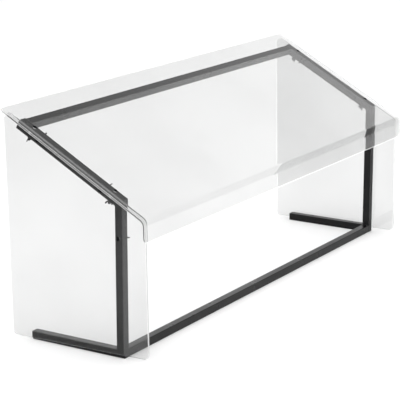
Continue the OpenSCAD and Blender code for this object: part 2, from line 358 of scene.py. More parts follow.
def coated(name, base, worn, grain, gloss, level, depth):
    """A dark coated finish: base and worn colours, grain scale, a pair of roughnesses, the specular level
    and the depth of the grain in metres."""
    material, tree, shader, place = new_material(name)
    grained = use_group(tree, coated_grain, place, {
        "Base": (*base, 1), "Worn": (*worn, 1), "Grain": grain, "Gloss Low": gloss[0], "Gloss High": gloss[1],
    })
    tree.links.new(grained.outputs["Colour"], shader.inputs["Base Color"])
    tree.links.new(grained.outputs["Roughness"], shader.inputs["Roughness"])
    raise_surface(tree, shader, grained.outputs["Height"], depth)
    shader.inputs["Specular IOR Level"].default_value = level
    return material


print("material helpers: new_material, use_group, raise_surface, coated")

# %% [markdown]
# ## The finishes
#
# The frame is satin black powder coat. Powder melts into a skin with very fine orange peel, so its
# reflections are soft but not flat, and its diffuse colour is close to black. The screws and washers are
# black zinc, a little smoother. The wing nuts and tube caps are moulded black plastic with a matt texture.

# %% Dark finishes
powder_coat = coated("powder_coat", (0.0035, 0.0035, 0.0038), (0.010, 0.010, 0.011), 1400.0,
                     (0.26, 0.36), 0.2, 0.00003)
black_zinc = coated("black_zinc", (0.004, 0.004, 0.005), (0.006, 0.006, 0.006), 2600.0,
                    (0.35, 0.5), 0.04, 0.00001)
nut_black = coated("nut_black", (0.006, 0.006, 0.006), (0.016, 0.016, 0.017), 2200.0,
                   (0.34, 0.5), 0.2, 0.00003)
cap_black = coated("cap_black", (0.007, 0.007, 0.007), (0.014, 0.014, 0.014), 3200.0,
                   (0.45, 0.6), 0.3, 0.00004)
print("dark finishes:", [m.name for m in (powder_coat, black_zinc, nut_black, cap_black)])

# %% [markdown]
# ## Clear acrylic
#
# Acrylic is glass-like: it bends light and mirrors more of it at a glancing angle. The material itself
# takes almost nothing out of the light, even over the long way from edge to edge, and that is why the cut
# edges of a real sheet look bright. So what dims the view sits on the surface and not in the volume: a tint,
# somewhat darker than a clean new sheet would be, that is painted shade and greys whatever is seen through
# the sheet, with the dust and wipe marks laid over it. Eased edges are fine-ground and scatter the light that
# runs inside the sheet. An attribute of the mesh marks them, and an emission about as bright as white paper
# paints that light on them as a glow. Lamps reach through the sheet by a Transparent shader for shadow rays
# only, as a thin sheet throws hardly a shadow.

# %% Acrylic
ACRYLIC_IOR = 1.49
SHADOW_TINT = 0.97          # share of the lamps' light that each face lets through
# Painted light: the eased edges glow by emission, though they are no lamp.
PAINTED_GLOW_RADIANCE = 1.0             # radiance of a fully marked edge
# Shares of that painted glow on the eased parts, on the cut, and on the cut's inner side. The first row is
# for edges that face along the cut's second direction and the second row for those along its first.
TOP_GLOW_SHARES = np.array([[1.2, 0.3, 0.4], [1.2, 0.04, 0.4]])
END_GLOW_SHARES = np.array([[0.05, 0.06, 0.03], [0.8, 0.6, 0.6]])

acrylic, tree, shader, place = new_material("acrylic")
# The clean tone of 0.80 is painted shade that greys whatever is seen through the sheet; the smeared tone and
# the wipe marks are dust.
wiped = use_group(tree, wipe_marks, place, {
    "Clean": (0.80, 0.803, 0.802, 1), "Smeared": (0.74, 0.742, 0.742, 1), "Haze": 0.03,
})
tree.links.new(wiped.outputs["Colour"], shader.inputs["Base Color"])
tree.links.new(wiped.outputs["Roughness"], shader.inputs["Roughness"])
shader.inputs["IOR"].default_value = ACRYLIC_IOR
shader.inputs["Transmission Weight"].default_value = 1.0
# Painted light: an attribute marks the edges, and they glow by emission as a stand-in for the light that runs
# inside the sheet.
edge = tree.nodes.new("ShaderNodeAttribute")
edge.attribute_name = "painted_edge_glow"
BLACK, WHITE = (0, 0, 0, 1), (1, 1, 1, 1)
tree.links.new(blend_colours(tree, edge.outputs["Fac"], BLACK, WHITE),
               shader.inputs["Emission Color"])
shader.inputs["Emission Strength"].default_value = PAINTED_GLOW_RADIANCE
lamp_way = tree.nodes.new("ShaderNodeBsdfTransparent")
lamp_way.inputs["Color"].default_value = (SHADOW_TINT, SHADOW_TINT, SHADOW_TINT, 1)
path = tree.nodes.new("ShaderNodeLightPath")
either = tree.nodes.new("ShaderNodeMixShader")
tree.links.new(path.outputs["Is Shadow Ray"], either.inputs[0])
tree.links.new(shader.outputs[0], either.inputs[1])
tree.links.new(lamp_way.outputs[0], either.inputs[2])
tree.links.new(either.outputs[0], tree.nodes["Material Output"].inputs["Surface"])
print("acrylic has", len(tree.nodes), "nodes")

# %% [markdown]
# ## Cutting a sheet
#
# A clear sheet is cut flat, its corners rounded, its screw holes drilled, and its edges eased so that
# they don't catch a sleeve. It could be a slab with a Bevel and a Boolean for each hole, but those leave
# long thin faces that a clear material shows at once. So the flat cut is drawn first, as an outline whose
# corners are true arcs, and only then laid in space by a function. The same cells make the flat end sheets
# and the bent top one.

# %% Outline with round corners
CORNER_STEPS = 12
HOLE_STEPS = 32
EASE = 0.6 * MM             # rounding of the sheets' edges
EASE_STEPS = 4


def round_corners(points, radius):
    """A polygon's corners as arcs: for each corner, places and outward directions along its arc. The arc's
    centre lies inwards along the sum of the two sides' outward directions."""
    points = np.asarray(points, float)
    side = np.roll(points, -1, 0) - points
    side /= np.linalg.norm(side, axis=1)[:, None]
    after = np.stack([side[:, 1], -side[:, 0]], -1)
    before = np.roll(after, 1, 0)
    centre = points - radius * (before + after) / (1 + (before * after).sum(1))[:, None]
    start = np.arctan2(before[:, 1], before[:, 0])
    turn = np.arccos(np.clip((before * after).sum(1), -1, 1))
    angle = start[:, None] + turn[:, None] * np.linspace(0, 1, CORNER_STEPS)
    way = np.stack([np.cos(angle), np.sin(angle)], -1)
    return centre[:, None] + radius * way, way


def hole_loop(centre, radius):
    """A drilled hole's edge, clockwise, with directions out of the material, towards its centre."""
    angle = -np.linspace(0, 2 * np.pi, HOLE_STEPS, endpoint=False)
    way = np.stack([np.cos(angle), np.sin(angle)], -1)
    return np.asarray(centre) + radius * way, -way


print("a square's round corners:", round_corners([[0, 0], [1, 0], [1, 1], [0, 1]], 0.1)[0].shape)

# %% [markdown]
# Clear material shows every kink in its surface. So the sheet is not smoothed by averaging its faces: each
# point gets its exact normal, which is known from the formula that placed it. The volume tells which way
# the faces point, because it comes out negative when they point inwards.

# %% Sheet as an object
def shaded_sheet(name, places, faces, facing):
    """The sheet's object, with its faces outwards and the exact normal at each point."""
    mesh = bpy.data.meshes.new(name)
    mesh.from_pydata(places.tolist(), [], faces)
    work = bmesh.new()
    work.from_mesh(mesh)
    if work.calc_volume(signed=True) < 0:
        bmesh.ops.reverse_faces(work, faces=work.faces)
    odd_edges = sum(not edge.is_manifold for edge in work.edges)
    print(name, len(work.faces), "faces,", odd_edges, "edges without exactly two faces,",
          round(1e6 * work.calc_volume(signed=True), 1), "cm3")
    work.to_mesh(mesh)
    work.free()
    mesh.shade_smooth()
    mesh.normals_split_custom_set_from_vertices(facing.tolist())
    mesh.materials.append(acrylic)
    piece = bpy.data.objects.new(name, mesh)
    bpy.context.scene.collection.objects.link(piece)
    return piece


print("edges are eased by", round(EASE / MM, 2), "mm in", EASE_STEPS, "steps")

# %% [markdown]
# The cut is filled by a triangulation that keeps given lines, so the outline, the holes and the fold lines
# all stay as they were drawn. It fills the holes as well, and the triangles whose middle lies in a hole are
# dropped. The test takes the drilled radius, while the eased rim is wider, so a few thin triangles stay at
# each hole's rim, under the screw's head and on the tube. Testing against the radius plus the easing would
# drop them too. An attribute on the mesh says how brightly a painted glow shines on each part of the edge.

# %% Filling a cut and painting a glow on its edge
def fill_cut(flat, links, holes):
    """Triangles over a flat cut that keep its links as edges, less those whose middle lies within a hole's
    drilled radius."""
    cut = delaunay_2d_cdt([Vector(place) for place in flat], links, [], 0, 1e-9)
    triangles = np.array([ids[0] for ids in cut[3]])[np.array(cut[2])]
    middle = flat[triangles].mean(1)
    for centre, radius in holes:
        solid = np.linalg.norm(middle - centre, axis=1) > radius
        triangles, middle = triangles[solid], middle[solid]
    return triangles


def paint_edge_glow(piece, out, glow_shares):
    """The attribute for the painted edge glow: nothing on the two faces, one share on the eased parts, and
    one on each side of the cut between them. The two rows of shares mix by the square of out's first part."""
    along_first = out[:, :1] ** 2
    eased, cut_side, inner_side = (glow_shares[0] + along_first * (glow_shares[1] - glow_shares[0])).T
    glow = np.tile(eased, (2 * EASE_STEPS, 1))
    glow[[0, -1]] = 0
    glow[EASE_STEPS - 1], glow[EASE_STEPS] = cut_side, inner_side
    painted_edge_glow = piece.data.attributes.new("painted_edge_glow", "FLOAT", "POINT")
    painted_edge_glow.data.foreach_set("value", glow.ravel())


print("the cut lies between rows", EASE_STEPS - 1, "and", EASE_STEPS, "of an edge")

# %% [markdown]
# An edge is a stack of copies of the cut's outline: drawn in by the easing at the outer face, at full size
# along the cut, and drawn in again at the inner face. Neighbouring copies are joined by four-sided faces,
# and the first and last copy are filled.

# %% Sheet from its flat cut
def sheet_piece(name, loops, holes, folds, lay, glow_shares):
    """A clear sheet with its holes. Its edge at angle a, from 0 on the outer face to pi on the inner one,
    lies EASE (1 - sin a) inside the cut, and as deep as 1 - cos a says round each eased corner. Loops are
    pairs of flat places and directions out of the material. Lay turns flat places into places in space,
    normals and the two surface directions."""
    copies = 2 * EASE_STEPS
    ease_in = np.linspace(0, np.pi / 2, EASE_STEPS)
    angle = np.concatenate([ease_in, ease_in + np.pi / 2])[:, None, None]
    inset = EASE * (1 - np.sin(angle))
    depth = np.where(np.arange(copies)[:, None, None] < EASE_STEPS,
                     EASE * (1 - np.cos(angle)), sheet_t - EASE * (1 + np.cos(angle)))
    points, out = (np.concatenate(part) for part in zip(*loops))
    flat = points - EASE * out
    outer, normal, first, second = lay(flat)
    sideways = out[:, :1] * first + out[:, 1:] * second
    places = outer + (EASE - inset) * sideways - depth * normal
    facing = np.cos(angle) * normal + np.sin(angle) * sideways

    total, faces, links, start = len(points), [], list(folds), 0
    for loop, _ in loops:
        row, column = np.divmod(grid_faces(copies, len(loop)), len(loop))
        faces += (row * total + start + column)[:, ::-1].tolist()
        links += [(start + i, start + (i + 1) % len(loop)) for i in range(len(loop))]
        start += len(loop)
    triangles = fill_cut(flat, links, holes)
    faces += triangles.tolist() + (triangles[:, ::-1] + (copies - 1) * total).tolist()
    piece = shaded_sheet(name, places.reshape(-1, 3), faces, facing.reshape(-1, 3))
    paint_edge_glow(piece, out, glow_shares)
    return piece


print("an eased edge has", 2 * EASE_STEPS, "copies of the outline")

# %% [markdown]
# ## Where the screws go
#
# Each wing nut turns on its screw, so the model's joints say where every screw is: a joint's place is on
# the nut's seat, and its axis points out through the tube towards the clear sheet. Going back along the
# axis by the washer and the tube gives the point where the sheet lies on the tube.

# %% Screw places
washer_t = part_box("left_end_washers")[1].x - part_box("left_end_washers")[0].x
SCREW_D = 5.0 * MM
HOLE_D = 5.5 * MM


def screw_axis(nut):
    """Where a nut's screw crosses the tube's face under the sheet, and its direction towards the head."""
    way = np.array(joints[nut]["axis"], float)
    way /= np.linalg.norm(way)
    return np.array(joints[nut]["pos_m"]) + (washer_t + tube) * way, way


def wing_direction(nut):
    """The direction of a nut's wings, square to its axis: where its vertices spread most."""
    origin, way = screw_axis(nut)
    spread = corners(nut) - origin
    spread -= np.outer(spread @ way, way)
    spread -= spread.mean(0)
    return np.linalg.svd(spread, full_matrices=False)[2][0]


top_nuts = [name for name in joints if name.startswith("top_nut")]
end_nuts = {side: [name for name in joints if name.startswith(f"end_nut_{side}")] for side in SIDES}
print("top:", len(top_nuts), "left end:", len(end_nuts["left"]), "right end:", len(end_nuts["right"]))

# %% [markdown]
# ## The bent top sheet
#
# The top sheet is heated along a line and folded over a round bar, which leaves a soft bend between the
# sloping part and the lip that hangs in front. In the flat cut, one direction runs across the guard and
# the other from the rear edge down the slope, round the bend and down the lip. Lines across the cut at
# equal turns keep the bend's faces narrow.

# %% Top sheet
SHEET_CORNER = 13.0 * MM
BEND_INSIDE = 15.0 * MM
BEND_FACES = 24

sheet_low, sheet_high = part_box("top_panel")
bend_r = BEND_INSIDE + sheet_t
bend_turn = math.pi / 2 - slope
rear_top = np.array([0, sheet_high.y - sheet_t * math.sin(slope), sheet_high.z])
apex_run = (rear_top[1] - sheet_low.y) / math.cos(slope)
fold_s = apex_run - bend_r * math.tan(bend_turn / 2)
bend_centre = rear_top - fold_s * up_slope - bend_r * up_off_sheet
lip_run = bend_centre[2] - sheet_low.z
cut_length = fold_s + bend_r * bend_turn + lip_run


def lay_top(flat):
    """Flat [x, s] on the bent sheet. The turn from level is slope + (s - fold) / r, held between the slope
    and upright. The place is the bend's centre plus r along the normal, and the straight parts run on."""
    x, s = flat[:, 0], flat[:, 1]
    turn = slope + np.clip((s - fold_s) / bend_r, 0, bend_turn)
    nothing, one = np.zeros_like(s), np.ones_like(s)
    normal = np.stack([nothing, -np.sin(turn), np.cos(turn)], -1)
    along = np.stack([nothing, -np.cos(turn), -np.sin(turn)], -1)
    past = np.minimum(s - fold_s, 0) + np.maximum(s - fold_s - bend_r * bend_turn, 0)
    place = bend_centre + bend_r * normal + past[:, None] * along
    place[:, 0] += x
    return place, normal, np.stack([one, nothing, nothing], -1), along


top_w = sheet_high.x
arcs, ways = round_corners(
    [[-top_w, 0], [top_w, 0], [top_w, cut_length], [-top_w, cut_length]], SHEET_CORNER)
fold_lines = fold_s + bend_r * bend_turn * np.linspace(0, 1, BEND_FACES + 1)
right_side = np.stack([np.full_like(fold_lines, top_w), fold_lines], -1)
left_side = right_side[::-1] * [-1, 1]
outline = np.concatenate([arcs[0], arcs[1], right_side, arcs[2], arcs[3], left_side])
out = np.concatenate([ways[0], ways[1], [[1, 0]] * len(fold_lines),
                      ways[2], ways[3], [[-1, 0]] * len(fold_lines)])
first_fold = 2 * CORNER_STEPS
last_left = len(outline) - 1
folds = [(first_fold + i, last_left - i) for i in range(len(fold_lines))]
top_holes = []
for nut in top_nuts:
    seat, way = screw_axis(nut)
    top_holes.append((np.array([seat[0], (rear_top - seat) @ up_slope]), HOLE_D / 2))
loops = [(outline, out)] + [hole_loop(*hole) for hole in top_holes]
print("the flat cut is", round(2 * top_w / MM, 1), "x", round(cut_length / MM, 1), "mm")
top_sheet = sheet_piece("top_sheet", loops, top_holes, folds, lay_top, TOP_GLOW_SHARES)
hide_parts("top_panel")
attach(top_sheet, "frame")

# %% [markdown]
# ## The end sheets
#
# Each end sheet is a flat piece with four sides, none quite square to another: its top edge follows the
# slope and it leans back a little. Its outline is taken from the design's own piece. The four longest
# sides of that piece's hull are the straight edges, and their crossings are the corners before rounding.

# %% End sheets
def straight_corners(points):
    """Where the four longest sides of a flat hull cross, each with the next."""
    hull = points[convex_hull_2d([Vector(point) for point in points])]
    side = np.roll(hull, -1, 0) - hull
    longest = np.sort(np.argsort(np.linalg.norm(side, axis=1))[-4:])
    start, way = hull[longest], side[longest]
    next_start, next_way = np.roll(start, -1, 0), np.roll(way, -1, 0)
    gap = next_start - start
    share = ((gap[:, 0] * next_way[:, 1] - gap[:, 1] * next_way[:, 0])
             / (way[:, 0] * next_way[:, 1] - way[:, 1] * next_way[:, 0]))
    return start + share[:, None] * way


def end_sheet(side_name):
    """A flat end sheet, cut in [y, z] and laid on the plane of its outer face."""
    side, node = SIDES[side_name], f"{side_name}_end_panel"
    outer_x = side * (half_w + sheet_t)

    def lay_end(flat):
        """Flat [y, z] on the outer face, which looks along X."""
        one, nothing = np.ones(len(flat)), np.zeros(len(flat))
        place = np.stack([outer_x * one, flat[:, 0], flat[:, 1]], -1)
        return (place, np.stack([side * one, nothing, nothing], -1),
                np.stack([nothing, one, nothing], -1), np.stack([nothing, nothing, one], -1))

    arcs, ways = round_corners(straight_corners(corners(node)[:, 1:]), SHEET_CORNER)
    holes = [(screw_axis(nut)[0][1:], HOLE_D / 2) for nut in end_nuts[side_name]]
    loops = [(arcs.reshape(-1, 2), ways.reshape(-1, 2))] + [hole_loop(*hole) for hole in holes]
    piece = sheet_piece(f"{side_name}_end_sheet", loops, holes, [], lay_end, END_GLOW_SHARES)
    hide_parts(node)
    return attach(piece, "frame")


for side_name in SIDES:
    end_sheet(side_name)

# %% [markdown]
# ## Screws
#
# The screws are button-head socket screws: a low dome with a six-sided hole for a key. The whole screw is
# one grid, from the middle of the socket's floor out over the dome, under the head and down the shank.
# Two formulas shape it. Across the socket the radius is that of a hexagon, flat / cos of the angle from
# the nearest flat's middle. Down the thread it swings by a triangle wave of height over pitch minus turn.

# %% Screw surface
HEAD_R = 4.75 * MM
HEAD_H = 2.75 * MM
SOCKET_FLAT = 1.5 * MM      # from the axis to a flat
SOCKET_DEPTH = 1.5 * MM
PITCH = 0.8 * MM
THREAD_DEPTH = 0.4 * MM
SOFT_EDGE = 0.12 * MM       # rounding of the head's edges
SCREW_COLUMNS = 36
ROWS_PER_TURN = 5

HUB_H = 6.5 * MM            # height of a wing nut's hub
THREAD_PAST = 2.5 * MM      # thread that shows past the nut
screw_len = sheet_t + tube + washer_t + HUB_H + THREAD_PAST


def screw_surface():
    """Rows of [radius, height] from the socket's floor to the tip, height 0 on the sheet's outer face."""
    angle = np.linspace(0, 2 * np.pi, SCREW_COLUMNS, endpoint=False)
    hexagon = SOCKET_FLAT / np.cos((angle + np.pi / 6) % (np.pi / 3) - np.pi / 6)
    dome_r = (HEAD_R ** 2 + HEAD_H ** 2) / (2 * HEAD_H)

    def dome(radius):
        """Height of the dome at a radius: a sphere of dome_r whose top is the head's top."""
        return HEAD_H - dome_r + np.sqrt(dome_r ** 2 - radius ** 2)

    rim = hexagon + SOFT_EDGE
    floor_z = HEAD_H - SOCKET_DEPTH       # the floor is a shallow cone, as a drill leaves it
    radii = [0 * angle, hexagon * 0.6, hexagon, hexagon, rim]
    heights = [floor_z - 0.3 * MM, floor_z - 0.1 * MM, floor_z, dome(hexagon) - SOFT_EDGE, dome(rim)]
    for share in np.linspace(0.12, 1, 9):
        radius = rim + share * (HEAD_R - SOFT_EDGE - rim)
        radii.append(radius)
        heights.append(dome(radius))
    edge = [[HEAD_R, SOFT_EDGE], [HEAD_R - 0.15 * MM, 0],
            [SCREW_D / 2 + 0.1 * MM, 0], [SCREW_D / 2, -0.1 * MM]]
    radii += [radius + 0 * angle for radius, _ in edge]
    heights += [height for _, height in edge]
    down = np.arange(0.4 * MM, screw_len - 0.5 * MM, PITCH / ROWS_PER_TURN)[:, None]
    swing = np.abs(2 * ((down / PITCH - angle / (2 * np.pi)) % 1) - 1)
    fade = np.clip(np.minimum(down / PITCH - 0.5, (screw_len - down) / PITCH - 0.3), 0, 1)
    radii += list(SCREW_D / 2 - THREAD_DEPTH * fade * swing)
    heights += list(-down + 0 * angle)
    radii += [SCREW_D / 2 - THREAD_DEPTH + 0 * angle, 0 * angle]
    heights += [-screw_len, -screw_len]
    radius, height = np.stack(radii), np.stack([h + 0 * angle for h in heights])
    return np.stack([radius * np.cos(angle), radius * np.sin(angle), height], -1)


screw_grid = screw_surface()
print("a screw:", screw_grid.shape[0], "rows of", screw_grid.shape[1], "and", round(screw_len / MM, 1), "mm")

# %% [markdown]
# Each screw stands on its axis with its head on the sheet. Nobody lines up the key holes while tightening,
# so each screw of a sheet is turned further round than the one before. The same grid serves all ten.

# %% Place the screws
FIRST_KEY_TURN, KEY_STEP = 0.3, 0.9      # in radians


def across(way):
    """Two directions square to a direction and to each other. The first is the cross product with a fixed
    direction that no screw follows."""
    first = np.cross(way, [0.3, 0.8, 0.52])
    first /= np.linalg.norm(first)
    return first, np.cross(way, first)


def screws(name, nuts, node):
    """All the screws of one sheet as one piece, each turned differently in its hole."""
    shells = []
    for number, nut in enumerate(nuts):
        seat, way = screw_axis(nut)
        first, second = across(way)
        turn = FIRST_KEY_TURN + KEY_STEP * number
        first, second = (math.cos(turn) * first + math.sin(turn) * second,
                         math.cos(turn) * second - math.sin(turn) * first)
        shells.append((placed(screw_grid, seat + sheet_t * way, first, second, way), False))
    piece = closed_shells(name, shells, black_zinc)
    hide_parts(node)
    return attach(piece, "frame")


screws("top_screws", top_nuts, "top_panel_screws")
for side_name in SIDES:
    screws(f"{side_name}_screws", end_nuts[side_name], f"{side_name}_end_screws")
print("screws for", len(joints), "nuts")

# %% [markdown]
# ## Washers
#
# A stamped washer has one soft edge, where the punch entered, and one crisp one. Its section is a small
# loop of [radius, height], carried round the screw.

# %% Washers
WASHER_R = 5.0 * MM
SOFT = 0.25 * MM            # rounding of the soft edge


def washers(name, nuts, node):
    """The washers of one sheet's screws, lying between the tube and the nuts."""
    section = [[HOLE_D / 2, 0], [WASHER_R, 0], [WASHER_R, washer_t - SOFT],
               [WASHER_R - 0.3 * SOFT, washer_t - 0.3 * SOFT], [WASHER_R - SOFT, washer_t],
               [HOLE_D / 2 + SOFT / 2, washer_t], [HOLE_D / 2, washer_t - SOFT / 2]]
    shells = []
    for nut in nuts:
        seat, way = screw_axis(nut)
        first, second = across(way)
        shells.append((placed(lathe(section), seat - tube * way, first, second, -way), True))
    piece = closed_shells(name, shells, black_zinc)
    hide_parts(node)
    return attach(piece, "frame")


washers("top_washers", top_nuts, "top_panel_washers")
for side_name in SIDES:
    washers(f"{side_name}_washers", end_nuts[side_name], f"{side_name}_end_washers")
print("washers", round(washer_t / MM, 2), "mm thick")

# %% [markdown]
# ## Wing nuts
#
# A wing nut is a tapered hub with two wings that rise past its top and lean outwards, thick enough to
# press with a thumb. The hub is turned from a profile. Each wing is a flattened loop carried along a
# curve that leaves the hub, sweeps out and turns up. The curve is a blend of three points, and the loop
# is a superellipse: an ellipse whose cosine and sine are raised to a power below one, so its sides are
# flatter and its corners tighter.

# %% Wing surface
NUT_BORE = 2.55 * MM
HUB_BASE_R = 4.6 * MM
HUB_TOP_R = 3.8 * MM
WING_PATH = np.array([[2.9, 3.1], [6.7, 4.4], [7.35, 10.8]]) * MM     # [radius, height]
WING_WIDTHS = np.array([2.0, 1.75, 1.6]) * MM        # half width at root, middle and tip
WING_THICKS = np.array([1.15, 0.85, 1.0]) * MM       # half thickness at the same places
WING_ROWS = 26
LOOP_COLUMNS = 24
SQUARENESS = 2.7
TIP_SHARE = 0.16            # the last share of a wing, where it rounds off


def wing_surface():
    """A wing: at share v the centre is (1-v)^2 A + 2v(1-v) B + v^2 C. Half width and thickness are blends of
    three values, drawn in to nothing over the tip as the root of 1 - u^2."""
    v = np.linspace(0, 1, WING_ROWS) ** 0.8
    weights = np.stack([(1 - v) ** 2, 2 * v * (1 - v), v ** 2], -1)
    centre = weights @ WING_PATH
    tangent = np.gradient(centre, axis=0)
    tangent /= np.linalg.norm(tangent, axis=1)[:, None]
    side = np.stack([-tangent[:, 1], tangent[:, 0]], -1)
    u = np.clip((v - 1 + TIP_SHARE) / TIP_SHARE, 0, 1)
    draw_in = np.sqrt(np.clip(1 - u ** 2, 0, 1))
    draw_in[0] = 0
    width, thick = weights @ WING_WIDTHS * draw_in, weights @ WING_THICKS * draw_in
    a = np.linspace(0, 2 * np.pi, LOOP_COLUMNS, endpoint=False)
    c = np.sign(np.cos(a)) * np.abs(np.cos(a)) ** (2 / SQUARENESS)
    s = np.sign(np.sin(a)) * np.abs(np.sin(a)) ** (2 / SQUARENESS)
    flat = centre[:, None] + (width[:, None] * c)[..., None] * side[:, None]
    return np.stack([flat[..., 0], thick[:, None] * s, flat[..., 1]], -1)


wing_grid = wing_surface()
print("wing reaches", np.round(wing_grid.max((0, 1)) / MM, 2), "mm out, sideways and up")

# %% [markdown]
# The hub and both wings go into one piece for each nut, and the piece rides on that nut's own body, so it
# turns when the nut is turned. How far round each nut stands is read from the design, as its wings spread
# the vertices most in one direction.

# %% Place the wing nuts
def wing_nut(nut):
    """Hub and two wings on the nut's own body, turned as the nut happens to be turned in the design."""
    soft = 0.35 * MM
    hub = [[NUT_BORE, soft], [NUT_BORE + soft, 0], [HUB_BASE_R - soft, 0], [HUB_BASE_R, soft],
           [HUB_TOP_R, HUB_H - soft], [HUB_TOP_R - 0.3 * soft, HUB_H - 0.3 * soft], [HUB_TOP_R - soft, HUB_H],
           [NUT_BORE + soft, HUB_H], [NUT_BORE, HUB_H - soft]]
    seat, way = screw_axis(nut)
    origin, first = seat - (tube + washer_t) * way, wing_direction(nut)
    second = np.cross(way, first)
    shells = [(placed(lathe(hub), origin, first, second, -way), True)]
    for turn in (1, -1):
        shells.append((placed(wing_grid, origin, turn * first, turn * second, -way), False))
    piece = closed_shells(nut + "_winged", shells, nut_black, smooth_angle=50)
    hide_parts(nut)
    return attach(piece, nut)


wing_nuts = [wing_nut(nut) for nut in joints]
print(len(wing_nuts), "wing nuts")

# %% [markdown]
# ## Tube caps
#
# A plastic cap closes the open end of each foot and each arm. Its plug grips inside the tube and only a
# low, rounded button shows. Every row of its surface is the same rounded square at another size and
# height, so a short list of rows describes the whole cap, from inside the plug, over its end and out
# across the button. A shallow dimple in the middle is where the mould was filled. The first and the last
# row are squares 0.04 mm wide, which are too wide to be merged to a point, so a pinhole stays in each.

# %% Rounded square rows
CORNER_POINTS = 6
TUBE_CORNER = 1.5 * MM
PLUG_HALF = 8.2 * MM
PLUG_INSIDE_HALF = 6.7 * MM
PLUG_LEN = 10.0 * MM
CAP_T = 2.5 * MM
CAP_ROUND = 1.3 * MM
CAP_DOME = 0.25 * MM        # how much the middle stands over the rim


def rounded_square(half, radius):
    """A square of half width, its corners arcs: four centres at half - radius, each with a quarter turn."""
    quarter = np.linspace(0, np.pi / 2, CORNER_POINTS)
    angle = (quarter + np.arange(4)[:, None] * np.pi / 2).ravel()
    centre = np.repeat([[1, 1], [-1, 1], [-1, -1], [1, -1]], CORNER_POINTS, 0) * (half - radius)
    return centre + radius * np.stack([np.cos(angle), np.sin(angle)], -1)


def cap_surface():
    """Rows of a cap as [half width, corner radius, height], height 0 at the tube's end."""
    half = tube / 2
    bend = np.linspace(0, np.pi / 2, 6)
    rows = [[0.02 * MM, 0.01 * MM, 0], [PLUG_INSIDE_HALF, 0.5 * MM, 0],
            [PLUG_INSIDE_HALF, 0.5 * MM, -PLUG_LEN],
            [PLUG_HALF - 0.3 * MM, 0.5 * MM, -PLUG_LEN], [PLUG_HALF, 0.5 * MM, -PLUG_LEN + 0.6 * MM],
            [PLUG_HALF, 0.5 * MM, 0], [half, TUBE_CORNER, 0]]
    side_top = CAP_T - CAP_DOME - CAP_ROUND
    rows += [[half - CAP_ROUND * (1 - math.cos(a)), TUBE_CORNER, side_top + CAP_ROUND * math.sin(a)]
             for a in bend]
    for share in (0.85, 0.6, 0.35, 0.2):
        rows.append([share * half, TUBE_CORNER, CAP_T - CAP_DOME * share ** 2])
    rows += [[1.2 * MM, 0.9 * MM, CAP_T], [0.9 * MM, 0.7 * MM, CAP_T - 0.2 * MM],
             [0.02 * MM, 0.01 * MM, CAP_T - 0.3 * MM]]
    return np.stack([np.concatenate([rounded_square(h, min(r, h)), np.full((4 * CORNER_POINTS, 1), z)], 1)
                     for h, r, z in rows])


print("a cap has", cap_surface().shape[0], "rows")

# %% [markdown]
# A cap is placed by the design's own cap: its middle is the middle of that node's reach across the tube,
# and its face is where that node ends along it. This works as well for the sloping arms as for the feet.

# %% Place the caps
def tube_cap(node, way, up):
    """A cap at a tube's end: its outer face is the node's furthest reach along way."""
    side = np.cross(up, way)
    middle = [sum(reach(node, direction)) / 2 for direction in (side, up)]
    origin = (middle[0] * np.array(side) + middle[1] * np.array(up)
              + (reach(node, way)[1] - CAP_T) * np.array(way))
    surface = placed(cap_surface(), origin, side, up, way)
    piece = closed_shells(node + "_button", [(surface, False)], cap_black)
    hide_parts(node)
    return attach(piece, "frame")


for side_name in SIDES:
    tube_cap(f"{side_name}_foot_cap", np.array([0.0, 1, 0]), np.array([0.0, 0, 1]))
    tube_cap(f"{side_name}_arm_cap", up_slope, up_off_sheet)
print("capped the feet and the arms")

# %% [markdown]
# ## The welded frame
#
# The tubes keep the shape that the design gives them, because it is already exact: square tube with
# small round corners, mitred where two tubes meet at an angle. What the design leaves out is the welding.
# The outer seams of such a frame are ground flush before it is coated, but a bead stays in each inside
# corner, where a grinder doesn't reach. A bead is a round rod along the corner, its radius rippled by a
# cosine, as the welder's hand moves on, and drawn in to nothing at both ends.

# %% Weld beads
BEAD_R = 1.7 * MM
BEAD_RIPPLE = 0.07          # share of the radius that the ripples take
RIPPLE_STEP = 1.5 * MM
ROWS_PER_RIPPLE = 6
BEAD_COLUMNS = 16
TAPER = 1.5                 # length of a bead's end, in radii
PROUD = 0.25                # how far a bead's middle stands out of the corner, in radii


def weld_bead(start, end, first, second):
    """A bead from start to end in the corner between the faces that run along first and second."""
    start, end = np.asarray(start, float), np.asarray(end, float)
    length = np.linalg.norm(end - start)
    along = (end - start) / length
    first, second = np.asarray(first, float), np.asarray(second, float)
    t = np.linspace(0, length, int(length / RIPPLE_STEP * ROWS_PER_RIPPLE) + 1)
    end_share = np.clip(np.minimum(t, length - t) / (TAPER * BEAD_R), 0, 1)
    ripple = 1 + BEAD_RIPPLE * np.cos(2 * np.pi * t / RIPPLE_STEP)
    radius = BEAD_R * np.sqrt(1 - (1 - end_share) ** 2) * ripple
    a = np.linspace(0, 2 * np.pi, BEAD_COLUMNS, endpoint=False)[None, :, None]
    centre = start + PROUD * BEAD_R * (first + second) + t[:, None] * along
    return centre[:, None] + radius[:, None, None] * (np.cos(a) * first + np.sin(a) * second), False


print("a bead's ripples are", round(RIPPLE_STEP / MM, 1), "mm apart")

# %% [markdown]
# There are five beads on each side: on top of the lower crossbar's end and behind it, across the foot behind
# the upright, beside the upper crossbar's end, and under the arm behind the upright.

